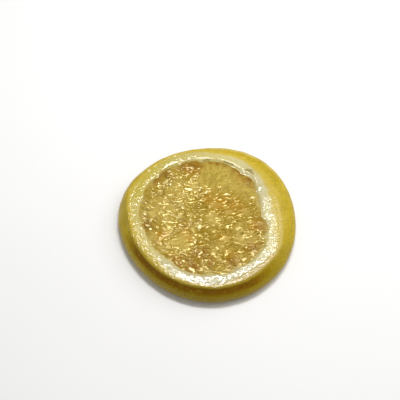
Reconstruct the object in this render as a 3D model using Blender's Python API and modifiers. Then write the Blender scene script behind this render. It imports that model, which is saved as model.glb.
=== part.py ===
"""A thick round slice of yuzu, soaked until it is soft: peel, pith, and segments of juice sacs round a core.

Metres, +Z up. The origin lies on the plane of the underside, below the middle of the slice. +X is to the
right and +Y to the back for someone who looks at the slice from the front. It rests on its pith and peel.
"""

import math

import bmesh
import bpy
from mathutils import Vector, noise

MM = 0.001

# The slice, about the axis of the fruit. It was cut nearer one end of it, so the wall leans out from the upper
# cut to the lower one.
WIDTH = 62 * MM
THICKNESS = 6.7 * MM
LIP_LEAN = 3.8 * MM
BASE_LEAN = 1.5 * MM
WIDEST_HEIGHT = 2.2 * MM
WALL_FLARE = 1.4
LIP_ROUNDING = 0.7 * MM
LIP_SHIFT = Vector((-1.4 * MM, -0.9 * MM))
TOP_TILT = Vector((-0.010, -0.012))

WIDEST_RADIUS = WIDTH / 2
LIP_RADIUS = WIDEST_RADIUS - LIP_LEAN
BASE_RADIUS = WIDEST_RADIUS - BASE_LEAN

# The fruit isn't round. Its outline has soft corners, as (corners, height, heading of one), and its cut face
# and its pulp are ovals that point to the back left.
CORNERS = ((3, 0.80 * MM, 50), (4, 0.27 * MM, -25))
OVAL_HEADING = 123
LIP_OVAL = 1.3 * MM
PULP_OVAL = 0.9 * MM

# The pulp lies off the middle, so the rind is thicker at the front than at the back. A tongue of pith grows
# into it from the right.
PULP_RADIUS = 22.9 * MM
PULP_SPREAD = 1.08
PULP_CENTRE = Vector((-1.0 * MM, -0.3 * MM))
PULP_SINK = 0.55 * MM
TONGUE_LENGTH = 3.2 * MM
TONGUE_HEADING = 21
TONGUE_SPREAD = 16
PEEL_SHARE = 0.36

# The core is a short streak, off the middle too.
CORE = Vector((-5.5 * MM, -6.6 * MM))
CORE_RADIUS = 2.0 * MM
CORE_STRETCH = 2.2 * MM
CORE_HEADING = 112

# Widths of the segments in degrees, anticlockwise from the membrane behind the core.
FIRST_MEMBRANE = 85
SEGMENT_WIDTHS = (15, 20, 24, 36, 58, 54, 23, 42, 16, 23, 18, 31)
SEGMENT_DOME = 0.45 * MM
MEMBRANE_GROOVE = 1.1 * MM
SCALLOP = 1.1 * MM

# Relief that is finer than the segments.
SAC_WIDTH = 2.2 * MM
SAC_LENGTH = 5.5 * MM
SAC_HEIGHT = 0.46 * MM
PITH_SWELL = 0.18 * MM
PEEL_SWELL = 0.35 * MM
PEEL_SWELL_SIZE = 9 * MM

# Mesh: the turned blank, and the share of its faces that the finished slice keeps.
TURN_STEPS = 220
PULP_RINGS = 44
RIND_RINGS = 12
WALL_RINGS = 14
KEPT_FACES = 0.2

COLOURS = {
    "yuzu_peel": ((0.58, 0.42, 0.045), 0.32),
    "yuzu_pith": ((0.80, 0.70, 0.40), 0.38),
    "yuzu_pulp": ((0.50, 0.35, 0.075), 0.18),
}
PEEL, PITH, PULP = range(3)


def clear_scene():
    for obj in list(bpy.data.objects):
        bpy.data.objects.remove(obj, do_unlink=True)


def blend(a, b, share):
    return a + (b - a) * share


def smooth(share):
    share = min(max(share, 0.0), 1.0)
    return share * share * (3 - 2 * share)


def polar(radius, angle):
    return Vector((radius * math.cos(angle), radius * math.sin(angle)))


def membrane_angles():
    """The angle of each membrane about the core, in radians, and a last one a full turn past the first."""
    angles = [math.radians(FIRST_MEMBRANE)]
    for width in SEGMENT_WIDTHS:
        angles.append(angles[-1] + math.radians(width))
    return angles


MEMBRANES = membrane_angles()


def segment_at(angle):
    """(index, share of the way across, width in radians) of the segment at an angle about the core."""
    angle = MEMBRANES[0] + (angle - MEMBRANES[0]) % math.tau
    for index, (start, end) in enumerate(zip(MEMBRANES, MEMBRANES[1:])):
        if angle <= end:
            return index, (angle - start) / (end - start), end - start
    return 0, 0.0, MEMBRANES[1] - MEMBRANES[0]


def corners(angle):
    """How far the fruit's outline stands out at an angle."""
    return sum(height * math.cos(count * (angle - math.radians(heading))) for count, height, heading in CORNERS)


def oval(size, angle):
    return size * math.cos(2 * (angle - math.radians(OVAL_HEADING)))


def lip_point(angle):
    return LIP_SHIFT + polar(LIP_RADIUS + oval(LIP_OVAL, angle), angle)


def wall_point(angle, height):
    """A point of the peel's outside, which flares out below the lip and turns in again at the base."""
    lip = lip_point(angle)
    widest = polar(WIDEST_RADIUS + corners(angle), angle)
    base = polar(BASE_RADIUS + corners(angle), angle)
    if height >= WIDEST_HEIGHT:
        share = (THICKNESS - height) / (THICKNESS - WIDEST_HEIGHT)
        return blend(lip, widest, math.sin(share * math.pi / 2) ** WALL_FLARE)
    share = 1 - height / WIDEST_HEIGHT
    return blend(widest, base, 1 - math.cos(share * math.pi / 2))


def pulp_reach(angle, radius):
    """How far pulp of a radius reaches from the core at an angle, with each segment's rounded end."""
    direction = polar(1, angle)
    offset = CORE - PULP_CENTRE
    along = offset.dot(direction)
    reach = -along + math.sqrt(radius * radius - offset.length_squared + along * along)
    _, across, _ = segment_at(angle)
    notch = SCALLOP * (1 - math.sin(math.pi * across) ** 0.5)
    from_tongue = (math.degrees(angle) - TONGUE_HEADING + 180) % 360 - 180
    tongue = TONGUE_LENGTH * math.exp(-((from_tongue / TONGUE_SPREAD) ** 2))
    return reach + oval(PULP_OVAL, angle) - notch - tongue


def pulp_point(angle, share, reach):
    """A point of the pulp, a share of the way out from the core, which is drawn out to a streak."""
    heading = math.radians(CORE_HEADING)
    stretch = CORE_STRETCH * math.cos(angle - heading) * smooth(share / 0.08) * (1 - share) ** 2
    return CORE + polar(reach * share, angle) + polar(stretch, heading)


def top_height(point):
    """The upper cut's plane, which leans a little, as it was cut by hand."""
    return THICKNESS + TOP_TILT.dot(point)


def sac_relief(index, across, width, distance):
    """Juice sacs lying along the segment, as long swellings that taper to the core."""
    sideways = (across - 0.5) * width * distance / SAC_WIDTH
    along = distance / SAC_LENGTH + 0.5 * math.sin(2.1 * sideways + index)
    swelling = noise.noise(Vector((sideways * 1.5, along, 3.7 * index)))
    wrinkle = noise.noise(Vector((sideways * 2.6, along * 3.1, 5.3 * index + 40)))
    return SAC_HEIGHT * (swelling + 0.5 * wrinkle)


def pulp_relief(angle, share, reach):
    """Height of the pulp over its own sunken plane."""
    index, across, width = segment_at(angle)
    distance = reach * share
    to_membrane = distance * math.sin(min(across, 1 - across) * min(width, math.pi / 2))
    dome = 1 - math.exp(-((to_membrane / MEMBRANE_GROOVE) ** 2))
    rim = 1 - math.exp(-(((reach - distance) / MEMBRANE_GROOVE) ** 2))
    core = math.exp(-((distance / CORE_RADIUS) ** 2))
    body = SEGMENT_DOME * dome * rim
    sacs = sac_relief(index, across, width, distance) * dome * (0.35 + 0.65 * rim)
    return (body + sacs) * (1 - core) + 0.25 * MM * core


def pith_relief(point, share):
    """The pith's soft swelling, with a shallow dip between pith and peel, over a cut face from pulp to lip."""
    swell = PITH_SWELL * noise.noise(Vector((point.x, point.y, 0)) / (3 * MM))
    dip = -0.12 * MM * math.exp(-(((share - (1 - PEEL_SHARE)) / 0.12) ** 2))
    shoulder = -0.30 * MM * (1 - smooth(share / 0.3))
    return swell * math.sin(math.pi * share) + dip + shoulder


def blank_profile():
    """Half the section of a plain disc: from the middle of the upper cut, down the wall, to the lower middle."""
    profile = [(PULP_RADIUS * i / PULP_RINGS, THICKNESS) for i in range(PULP_RINGS)]
    profile += [(blend(PULP_RADIUS, LIP_RADIUS, i / RIND_RINGS), THICKNESS) for i in range(RIND_RINGS + 1)]
    profile += [(WIDEST_RADIUS, THICKNESS * (1 - i / WALL_RINGS)) for i in range(1, WALL_RINGS)]
    profile += [(blend(BASE_RADIUS, PULP_RADIUS, i / RIND_RINGS), 0) for i in range(RIND_RINGS + 1)]
    profile += [(PULP_RADIUS * (1 - i / PULP_RINGS), 0) for i in range(1, PULP_RINGS + 1)]
    return [(radius, 0, height) for radius, height in profile]


def turned_blank():
    """The slice as a plain disc, turned from its profile."""
    profile = blank_profile()
    mesh = bpy.data.meshes.new("yuzu_slice")
    mesh.from_pydata(profile, [(i, i + 1) for i in range(len(profile) - 1)], [])
    obj = bpy.data.objects.new("yuzu_slice", mesh)
    bpy.context.scene.collection.objects.link(obj)
    screw = obj.modifiers.new("turn", "SCREW")
    screw.steps = TURN_STEPS
    screw.render_steps = TURN_STEPS
    screw.use_merge_vertices = True
    screw.merge_threshold = 0.00001
    bpy.context.view_layer.objects.active = obj
    obj.select_set(True)
    bpy.ops.object.modifier_apply(modifier=screw.name)
    return obj


def upper_point(angle, radius):
    """Place, height and zone on the upper cut of a point of the blank."""
    reach = pulp_reach(angle, PULP_RADIUS)
    edge = CORE + polar(reach, angle)
    if radius <= PULP_RADIUS:
        share = radius / PULP_RADIUS
        point = pulp_point(angle, share, reach)
        sunk = pulp_relief(angle, share, reach) - PULP_SINK
        height = blend(sunk, pith_relief(edge, 0), smooth((share - 0.955) / 0.045))
        return point, top_height(point) + height, PULP if share < 0.985 else PITH
    share = (radius - PULP_RADIUS) / (LIP_RADIUS - PULP_RADIUS)
    lip = lip_point(angle)
    point = blend(edge, lip, share)
    from_lip = (lip - edge).length * (1 - share)
    rounding = LIP_ROUNDING * max(0, 1 - from_lip / (2 * LIP_ROUNDING)) ** 2
    height = top_height(point) + pith_relief(point, share) - rounding
    return point, height, PITH if share < 1 - PEEL_SHARE else PEEL


def lower_point(angle, radius):
    """The same on the lower cut, where pith and peel are flat and the pulp is sunk above them."""
    reach = pulp_reach(angle, PULP_RADIUS * PULP_SPREAD)
    if radius <= PULP_RADIUS:
        share = radius / PULP_RADIUS
        relief = pulp_relief(angle, share, reach) - SEGMENT_DOME
        sunk = max(PULP_SINK - 0.6 * relief, 0.15 * MM)
        return pulp_point(angle, share, reach), sunk * (1 - smooth((share - 0.94) / 0.06)), PULP
    share = (radius - PULP_RADIUS) / (BASE_RADIUS - PULP_RADIUS)
    point = blend(CORE + polar(reach, angle), wall_point(angle, 0), share)
    return point, 0.0, PITH if share < 1 - PEEL_SHARE else PEEL


def outer_point(angle, blank_height):
    """The same on the wall, which swells and sinks a little between the rounded lip and the base."""
    height = blank_height * (1 - LIP_ROUNDING / THICKNESS)
    point = wall_point(angle, height)
    level = height + TOP_TILT.dot(point) * height / THICKNESS
    swell = PEEL_SWELL * noise.noise(Vector((point.x, point.y, height)) / PEEL_SWELL_SIZE)
    return point + polar(swell * math.sin(math.pi * blank_height / THICKNESS), angle), level, PEEL


def shape_slice(obj):
    """Moves each point of the blank to its place on the slice, and gives each face the material of its zone."""
    zones = []
    for vertex in obj.data.vertices:
        radius = vertex.co.xy.length
        angle = math.atan2(vertex.co.y, vertex.co.x) % math.tau
        if radius > (WIDEST_RADIUS + BASE_RADIUS) / 2:
            point, height, zone = outer_point(angle, vertex.co.z)
        elif vertex.co.z > THICKNESS / 2:
            point, height, zone = upper_point(angle, radius)
        else:
            point, height, zone = lower_point(angle, radius)
        vertex.co = (point.x, point.y, height)
        zones.append(zone)
    for face in obj.data.polygons:
        face.material_index = min(zones[v] for v in face.vertices)


def centre_on_origin(obj):
    """Moves the slice so that its bounds are centred on the origin, as its corners aren't alike."""
    for axis in range(2):
        places = [vertex.co[axis] for vertex in obj.data.vertices]
        middle = (min(places) + max(places)) / 2
        for vertex in obj.data.vertices:
            vertex.co[axis] -= middle


def close_and_orient(obj):
    mesh = bmesh.new()
    mesh.from_mesh(obj.data)
    bmesh.ops.remove_doubles(mesh, verts=mesh.verts, dist=0.000001)
    bmesh.ops.triangulate(mesh, faces=mesh.faces)
    bmesh.ops.recalc_face_normals(mesh, faces=mesh.faces)
    mesh.to_mesh(obj.data)
    mesh.free()


def thin_faces(obj):
    """Fewer triangles where the slice is flat, and the relief kept."""
    decimate = obj.modifiers.new("thin", "DECIMATE")
    decimate.ratio = KEPT_FACES
    decimate.use_collapse_triangulate = True
    bpy.ops.object.modifier_apply(modifier=decimate.name)
    obj.data.shade_smooth()


def add_materials(obj):
    for name, (colour, roughness) in COLOURS.items():
        material = bpy.data.materials.new(name)
        material.use_nodes = True
        surface = material.node_tree.nodes["Principled BSDF"]
        surface.inputs["Base Color"].default_value = (*colour, 1)
        surface.inputs["Roughness"].default_value = roughness
        surface.inputs["Metallic"].default_value = 0.0
        surface.inputs["Coat Weight"].default_value = 0.8
        material.diffuse_color = (*colour, 1)
        obj.data.materials.append(material)


def main():
    clear_scene()
    yuzu = turned_blank()
    add_materials(yuzu)
    shape_slice(yuzu)
    centre_on_origin(yuzu)
    close_and_orient(yuzu)
    thin_faces(yuzu)
    collection = bpy.data.collections.new("Yuzu slice")
    bpy.context.scene.collection.children.link(collection)
    bpy.context.scene.collection.objects.unlink(yuzu)
    collection.objects.link(yuzu)


main()
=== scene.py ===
"""A thick round slice of yuzu, soaked soft: rind, juice segments, membranes and core.

Metres, +Z up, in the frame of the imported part. The slice is shaped about the axis of its fruit, which is a
little off the middle of its bounds.
"""

import math

import bpy
import numpy as np
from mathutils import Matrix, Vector, noise


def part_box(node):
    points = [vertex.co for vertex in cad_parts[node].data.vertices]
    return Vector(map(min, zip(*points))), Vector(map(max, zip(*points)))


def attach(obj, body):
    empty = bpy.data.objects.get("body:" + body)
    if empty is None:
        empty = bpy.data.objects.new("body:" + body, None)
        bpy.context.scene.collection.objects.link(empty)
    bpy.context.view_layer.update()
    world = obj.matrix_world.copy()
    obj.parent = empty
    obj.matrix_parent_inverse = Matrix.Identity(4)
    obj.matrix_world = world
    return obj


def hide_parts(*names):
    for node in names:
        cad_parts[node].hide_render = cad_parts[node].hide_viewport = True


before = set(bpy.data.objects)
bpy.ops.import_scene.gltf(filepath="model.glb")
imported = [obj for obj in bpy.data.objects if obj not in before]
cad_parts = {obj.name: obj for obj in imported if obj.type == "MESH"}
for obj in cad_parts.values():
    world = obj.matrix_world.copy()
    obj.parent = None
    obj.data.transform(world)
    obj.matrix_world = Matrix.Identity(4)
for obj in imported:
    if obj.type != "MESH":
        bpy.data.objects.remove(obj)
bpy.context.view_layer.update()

bl_info = {
    "name": "Yuzu Slice",
    "version": (1, 0, 0),
    "blender": (4, 5, 0),
    "location": "View3D > Sidebar > Yuzu",
    "description": "Models a soaked slice of yuzu: rind, juice segments, membranes and core",
    "category": "Object",
}

MM = 0.001
NODE = "yuzu_slice"

# The fruit's outline and cuts, the same as the solid's.
WIDEST_RADIUS = 31 * MM
THICKNESS = 6.7 * MM
LIP_RADIUS = WIDEST_RADIUS - 3.8 * MM
BASE_RADIUS = WIDEST_RADIUS - 1.5 * MM
WIDEST_HEIGHT = 2.2 * MM
FRONT_FLARE = 1.4
BACK_FLARE = 0.75
FRONT_HEADING, FRONT_HALF, FRONT_FADE = 262, 62, 45
LIP_SHIFT = np.array((-1.4, -0.9)) * MM
TOP_TILT = np.array((-0.010, -0.012))
OVAL_HEADING = 123
LIP_OVAL = 1.3 * MM

# The outline is a little three- and four-cornered: corners, how far they stand out, heading of the first.
CORNERS = ((3, 0.80 * MM, 50), (4, 0.27 * MM, -25))

# Where the lip stands further out: heading, spread and how far. Headings and spreads are in degrees.
LIP_BULGES = ((42, 34, 1.7 * MM), (160, 15, 1.2 * MM), (334, 16, 0.7 * MM))

# The pulp, into which a tongue of pith reaches, and its core and segments.
PULP_RADIUS = 22.9 * MM
PULP_OVAL = 0.9 * MM
PULP_SPREAD = 1.08
PULP_CENTRE = np.array((-1.0, -0.3)) * MM
PULP_SINK = 0.55 * MM
TONGUE_LENGTH = 3.2 * MM
TONGUE_HEADING, TONGUE_SPREAD = 21, 16
CORE = np.array((-5.5, -6.6)) * MM
CORE_STRETCH, STRETCH_START = 2.2 * MM, 0.08
CORE_HEADING = math.radians(112)
FIRST_MEMBRANE = 85
SEGMENT_WIDTHS = (15, 20, 24, 36, 58, 54, 23, 42, 16, 23, 18, 31)
MEMBRANES = np.radians(np.cumsum((FIRST_MEMBRANE, *SEGMENT_WIDTHS)))
SCALLOP = 1.1 * MM

# How fine the meshes are.
RIND_STEPS = 256
SECTION_STEPS = 42
RIND_CUTS = 2
PULP_GRID = 0.15 * MM
OUTLINE_STEPS = 720
RING_TUBE = 0.25


def blend(a, b, share):
    return a + (b - a) * share


def smooth(share):
    share = np.clip(share, 0, 1)
    return share * share * (3 - 2 * share)


def fall_off(away):
    """1 at no distance, falling to about a third at 1 and on towards 0."""
    return np.exp(-(away**2))


def polar(radius, angle):
    return np.stack((radius * np.cos(angle), radius * np.sin(angle)), axis=-1)


def length(places):
    return np.sqrt((places * places).sum(axis=-1))


def stack(places, heights):
    return np.concatenate((places, heights[..., None]), axis=-1)


def share_across(angle):
    """How far across its segment each angle about the core is, from 0 to 1."""
    turned = MEMBRANES[0] + (angle - MEMBRANES[0]) % math.tau
    index = np.clip(np.searchsorted(MEMBRANES, turned, side="right") - 1, 0, len(SEGMENT_WIDTHS) - 1)
    return (turned - MEMBRANES[index]) / (MEMBRANES[index + 1] - MEMBRANES[index])


def corners(angle):
    return sum(height * np.cos(count * (angle - math.radians(heading))) for count, height, heading in CORNERS)


def oval(size, angle):
    return size * np.cos(2 * (angle - math.radians(OVAL_HEADING)))


def from_heading(angle, heading):
    """How many degrees an angle is away from a heading, from -180 to 180."""
    return (np.degrees(angle) - heading + 180) % 360 - 180


def near_heading(angle, heading, spread):
    """1 at a heading in degrees, falling off over a spread in degrees."""
    return fall_off(from_heading(angle, heading) / spread)


def varied(angle, changes):
    """1, and more or less than 1 near some headings: (heading, spread, how much more)."""
    return 1 + sum(more * near_heading(angle, heading, spread) for heading, spread, more in changes)


def lip_point(angle):
    bulge = sum(reach * near_heading(angle, heading, spread) for heading, spread, reach in LIP_BULGES)
    return LIP_SHIFT + polar(LIP_RADIUS + oval(LIP_OVAL, angle) + bulge, angle)


def within_headings(angle, heading, half, fade):
    """1 within half a width of a heading, falling to 0 over a fade, all in degrees."""
    return 1 - smooth((np.abs(from_heading(angle, heading)) - half) / fade)


def wall_point(angle, height):
    """A point of the peel's outside, which flares out below the lip and turns in again at the base."""
    widest = polar(WIDEST_RADIUS + corners(angle), angle)
    base = polar(BASE_RADIUS + corners(angle), angle)
    up = np.clip((THICKNESS - height) / (THICKNESS - WIDEST_HEIGHT), 0, 1)
    down = np.clip(1 - height / WIDEST_HEIGHT, 0, 1)
    power = blend(BACK_FLARE, FRONT_FLARE, within_headings(angle, FRONT_HEADING, FRONT_HALF, FRONT_FADE))
    flare = (np.sin(up * math.pi / 2) ** power)[..., None]
    turn = (1 - np.cos(down * math.pi / 2))[..., None]
    above = (height >= WIDEST_HEIGHT)[..., None]
    return np.where(above, blend(lip_point(angle), widest, flare), blend(widest, base, turn))


def pulp_reach(angle, radius):
    """How far pulp of a radius reaches from the core at an angle, with each segment's rounded end."""
    offset = CORE - PULP_CENTRE
    along = offset[0] * np.cos(angle) + offset[1] * np.sin(angle)
    reach = -along + np.sqrt(radius * radius - offset @ offset + along * along)
    notch = SCALLOP * (1 - np.sqrt(np.clip(np.sin(math.pi * share_across(angle)), 0, 1)))
    tongue = TONGUE_LENGTH * near_heading(angle, TONGUE_HEADING, TONGUE_SPREAD)
    return reach + oval(PULP_OVAL, angle) - notch - tongue


def pulp_point(angle, share, reach):
    """A point of the pulp, a share of the way out from the core, which is drawn out to a streak."""
    stretch = CORE_STRETCH * np.cos(angle - CORE_HEADING) * smooth(share / STRETCH_START) * (1 - share) ** 2
    return CORE + polar(reach * share, angle) + stretch[..., None] * polar(1, CORE_HEADING)


def top_height(places):
    """The upper cut's plane, which leans a little, as it was cut by hand."""
    return THICKNESS + places @ TOP_TILT


def fruit_axis():
    """Where the fruit's axis stands in the part's frame, so that the slice's bounds meet the solid's."""
    angles = np.linspace(0, math.tau, OUTLINE_STEPS + 1)
    outline = wall_point(angles, np.full_like(angles, WIDEST_HEIGHT))
    low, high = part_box(NODE)
    return (np.array(low[:2]) + np.array(high[:2]) - outline.min(axis=0) - outline.max(axis=0)) / 2


AXIS = fruit_axis()


# Noise ----------------------------------------------------

# Large odd numbers that scramble a lattice point's column, row and seed.
COLUMN_FACTOR, ROW_FACTOR, SEED_FACTOR, LAST_FACTOR = 374761393, 668265263, 974634777, 1274126177
HIGHEST = 0xFFFFFFFF
SHIFTS = (13, 16)
WAVE_GAIN = 1.5


def lattice(column, row, seed):
    """A repeatable number from 0 to 1 for each point of a lattice."""
    mixed = column.astype(np.int64) * COLUMN_FACTOR + row.astype(np.int64) * ROW_FACTOR + seed * SEED_FACTOR
    mixed &= HIGHEST
    mixed = ((mixed ^ (mixed >> SHIFTS[0])) * LAST_FACTOR) & HIGHEST
    return (mixed ^ (mixed >> SHIFTS[1])) / HIGHEST


def waves(places, size, seed):
    """Smooth noise from about -1 to 1, whose swells are about a size apart."""
    x, y = places[..., 0] / size, places[..., 1] / size
    column, row = np.floor(x), np.floor(y)
    x, y = x - column, y - row
    ease_x, ease_y = smooth(x), smooth(y)

    def corner(right, up):
        turn = math.tau * lattice(column + right, row + up, seed)
        return np.cos(turn) * (x - right) + np.sin(turn) * (y - up)

    low = blend(corner(0, 0), corner(1, 0), ease_x)
    high = blend(corner(0, 1), corner(1, 1), ease_x)
    return WAVE_GAIN * blend(low, high, ease_y)


def warped(places, size, amount, seed):
    """Places pushed about by noise, so that what is drawn on them winds."""
    push = np.stack((waves(places, size, seed), waves(places, size, seed + 1)), axis=-1)
    return places + push * amount


def crests(places, size, width, seed):
    """1 on winding lines a size or so apart, falling to 0 on both sides."""
    return smooth(1 - np.abs(waves(places, size, seed)) / width)


def cells(places, seed):
    """(distance to the nearest, to the second nearest, that one's number) of scattered points one apart."""
    column, row = np.floor(places[..., 0]), np.floor(places[..., 1])
    nearest, second = np.full((2, *column.shape), np.inf)
    number = np.zeros(column.shape)
    for right in (-1, 0, 1):
        for up in (-1, 0, 1):
            x = column + right + lattice(column + right, row + up, seed)
            y = row + up + lattice(column + right, row + up, seed + 1)
            away = np.hypot(places[..., 0] - x, places[..., 1] - y)
            closer = away < nearest
            second = np.where(closer, nearest, np.minimum(second, away))
            number = np.where(closer, lattice(column + right, row + up, seed + 2), number)
            nearest = np.where(closer, away, nearest)
    return nearest, second, number


# Settings -------------------------------------------------


def colour(name, description, default):
    return bpy.props.FloatVectorProperty(
        name=name, description=description, subtype="COLOR", size=3, min=0, max=1, default=default)


def size(name, description, default):
    return bpy.props.FloatProperty(name=name, description=description, unit="LENGTH", default=default)


class YuzuRindSettings(bpy.types.PropertyGroup):
    peel: colour("Peel", "Colour of ripe peel", (0.57, 0.41, 0.014))
    # This colour is painted shade on the peel's front side, and the tint of greener patches, glands and
    # speckles elsewhere.
    greener_and_shaded_peel: colour("Unripe peel", "Colour of the peel's greener side", (0.335, 0.228, 0.001))
    # The band is painted shade, just below the cut on the front side.
    band: colour("Band", "Colour of the soaked band below the cut", (0.22, 0.098, 0.0))
    pith: colour("Pith", "Colour of the pith", (0.52, 0.475, 0.28))
    pale_pith: colour("Pale pith", "Colour of the pith where it has stayed pale", (0.68, 0.595, 0.27))
    yellow_pith: colour("Yellow pith", "Colour of the pith that peel oil has stained", (0.53, 0.418, 0.045))
    flesh: colour("Peel's flesh", "Colour of the cut through the peel", (0.60, 0.442, 0.045))
    amber: colour("Amber", "Colour of the peel's flesh where juice has stained it", (0.40, 0.26, 0.015))
    seep: colour("Seep", "Colour of the pith where juice has soaked into it", (0.50, 0.37, 0.07))
    fibre: colour("Fibres", "Colour of the fibre bundles in the pith", (0.36, 0.29, 0.06))
    peel_depth: size("Peel depth", "How far yellow peel reaches in from the skin", 1.2 * MM)
    gland_spacing: size("Gland spacing", "Distance between oil glands", 1.1 * MM)
    gland_depth: size("Gland depth", "Depth of the dimple over an oil gland", 0.11 * MM)


class YuzuPulpSettings(bpy.types.PropertyGroup):
    juice: colour("Juice", "Colour of ripe juice sacs", (0.345, 0.218, 0.009))
    olive: colour("Olive", "Colour of sacs under a film of juice", (0.57, 0.425, 0.078))
    brown: colour("Brown", "Colour of bruised sacs", (0.28, 0.125, 0.006))
    orange: colour("Orange", "Colour of the ripest sacs", (0.45, 0.222, 0.006))
    pale: colour("Pale", "Colour of empty sacs and membranes", (0.59, 0.435, 0.115))
    golden: colour("Golden", "Colour of the deepest sacs", (0.318, 0.20, 0.005))
    haze: colour("Haze", "Colour of the pulp where it fades into the pith", (0.60, 0.49, 0.19))
    glint: colour("Glint", "Colour of the light that the wet sacs send back", (1.0, 0.87, 0.39))
    lump_spacing: size("Lump spacing", "Distance between the sacs' swollen tips", 0.96 * MM)
    lump_height: size("Lump height", "Height of the sacs' swollen tips", 0.10 * MM)
    sac_width: size("Sac width", "Width of a juice sac where it shows through", 1.0 * MM)
    sac_length: size("Sac length", "Length of a juice sac where it shows through", 4.0 * MM)
    fold_spacing: size("Fold spacing", "Distance between folds in the skin", 2.0 * MM)
    fold_height: size("Fold height", "Height of a fold's crest", 0.10 * MM)


class YuzuStageSettings(bpy.types.PropertyGroup):
    floor: colour("Floor", "Colour of the floor", (0.93, 0.93, 0.93))
    camera_elevation: bpy.props.FloatProperty(
        name="Camera elevation", description="How far above the horizon the camera is", subtype="ANGLE",
        default=math.radians(57.6))
    camera_distance: size("Camera distance", "From the camera to the slice", 303.5 * MM)


# Mesh helpers ---------------------------------------------


def new_piece(name, add, **settings):
    """Adds a primitive with nothing else selected, and names it."""
    bpy.ops.object.select_all(action="DESELECT")
    add(**settings)
    piece = bpy.context.active_object
    piece.name = name
    piece.data.name = name
    return piece


def new_slab(name, columns, rows):
    """Adds a grid drawn up to a slab, from -0.5 to 0.5 both ways and from 0 to 1 in height."""
    piece = new_piece(
        name, bpy.ops.mesh.primitive_grid_add, x_subdivisions=columns, y_subdivisions=rows, size=1)
    edit((bpy.ops.mesh.extrude_region_move, {"TRANSFORM_OT_translate": {"value": (0, 0, 1)}}))
    return piece


def edit(*steps):
    """Runs mesh operators on all of the active piece, in edit mode."""
    bpy.ops.object.mode_set(mode="EDIT")
    bpy.ops.mesh.select_all(action="SELECT")
    for step, settings in steps:
        step(**settings)
    bpy.ops.object.mode_set(mode="OBJECT")


def read_places(piece):
    places = np.empty(len(piece.data.vertices) * 3)
    piece.data.vertices.foreach_get("co", places)
    return places.reshape(-1, 3)


def write_places(piece, places):
    piece.data.vertices.foreach_set("co", places.astype(np.float32).ravel())
    piece.data.update()


def read_normals(piece):
    normals = np.empty(len(piece.data.vertices) * 3)
    piece.data.vertex_normals.foreach_get("vector", normals)
    return normals.reshape(-1, 3)


def write_attributes(piece, **attributes):
    """Keeps numbers with a piece's points, for its material."""
    for name, values in attributes.items():
        attribute = piece.data.attributes.new(name, "FLOAT", "POINT")
        attribute.data.foreach_set("value", np.asarray(values, dtype=np.float32))


def hand_over(piece, material):
    """Smooths a finished piece, gives it its material and puts it in the part's frame."""
    places = read_places(piece)
    places[:, :2] += AXIS
    write_places(piece, places)
    piece.data.materials.clear()
    piece.data.materials.append(material)
    bpy.ops.object.select_all(action="DESELECT")
    piece.select_set(True)
    bpy.context.view_layer.objects.active = piece
    bpy.ops.object.shade_smooth()
    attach(piece, "root")
    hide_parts(NODE)


def draw_spots(spots, places):
    """1 at the middle of each given spot (x, y, radius), in millimetres, and 0 away from all."""
    share = np.zeros(len(places))
    for x, y, radius in spots:
        away = length(places / MM - np.array((x, y))) / radius
        share = np.maximum(share, fall_off(away))
    return share


def line_distance(places, points):
    """How far each place is from a line through points, all in metres."""
    nearest = np.full(len(places), np.inf)
    for start, end in zip(points, points[1:]):
        line = end - start
        along = np.clip((places - start) @ line / (line @ line), 0, 1)
        nearest = np.minimum(nearest, length(places - start - along[:, None] * line))
    return nearest


# Rind -----------------------------------------------------

# Shares of the section's outline: up the wall, round the lip, over the cut, down to the underside, out again.
WALL_END, LIP_END, TOP_END, INNER_END = 0.28, 0.36, 0.72, 0.78
SHARE_FADE = 0.04

# How far below the pith the pulp's edge is, and where it is deeper.
EDGE_DROP = 0.16 * MM
DEEPER_DROP = 0.11 * MM
DROP_HEADING, DROP_SPREAD = 140, 62
FILLET_WIDTH = 1.7 * MM

# The lip is well rounded on one side and sharp on the other.
LIP_SOFTNESS = 0.42 * MM
LIP_REACH = 1.6
SOFT_HEADING, SOFT_SPREAD = 30, 66
SOFTER = 2.6

# The pith is crowned, but slopes down to the lip where it shines most.
SHINE_HEADING = 294
DULL_HEADING = 195
PITH_CROWN, CROWN_LEAN = 0.22 * MM, 0.8
CROWN_VARIES = ((DULL_HEADING, 40, -0.5),)
FRONT_SLOPE, SLOPE_END, SLOPE_SPREAD = 0.046, 0.72, 44
UNDER_RISE, UNDER_EDGE = 0.15 * MM, 0.1
DEEP_INSIDE = 9 * MM

# Where the peel is thicker.
THICK_PEEL = ((4, 32, 2.8), (306, 20, 2.0), (186, 48, 2.0), (64, 16, -0.5))

# Headings and spreads: the front side, where the peel and its flesh get painted shade; the side with a band
# of painted shade below the cut; and where the flesh and the pith change colour.
PAINTED_SHADE_SIDE = (272, 55)
SHADE_BAND_HEADING, SHADE_BAND_HALF, SHADE_BAND_FADE = 256, 41, 27
STAINED_SIDE = (138, 52)
AMBER_SIDE = (310, 22)
PALE_SIDES = ((196, 36), (76, 28), (355, 30))

# The skin's dents, and the grain and step at the lip: size and height.
SKIN_DEPTH = 0.7 * MM
DENT_SIZE, DENT_HEIGHT = 3.5 * MM, 0.12 * MM
LIP_GRAIN_SIZE, LIP_GRAIN_HEIGHT = 0.6 * MM, 0.07 * MM
GLAND_RADIUS = 0.38
GLANDS_UNDER_SHADE_BAND = 0.7
PEEL_STEP = 0.18 * MM
STEP_VARIES = ((150, 34, -0.75), (257, 38, -0.9))

# The winding border between the peel's flesh and the pith, in millimetres.
BORDER_SIZE, BORDER_WANDER = 2.2 * MM, 0.35
PITH_FADE, PITH_START = 1.2, 0.3
STEP_FADE, STEP_START = 1.6, 0.5

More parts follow.
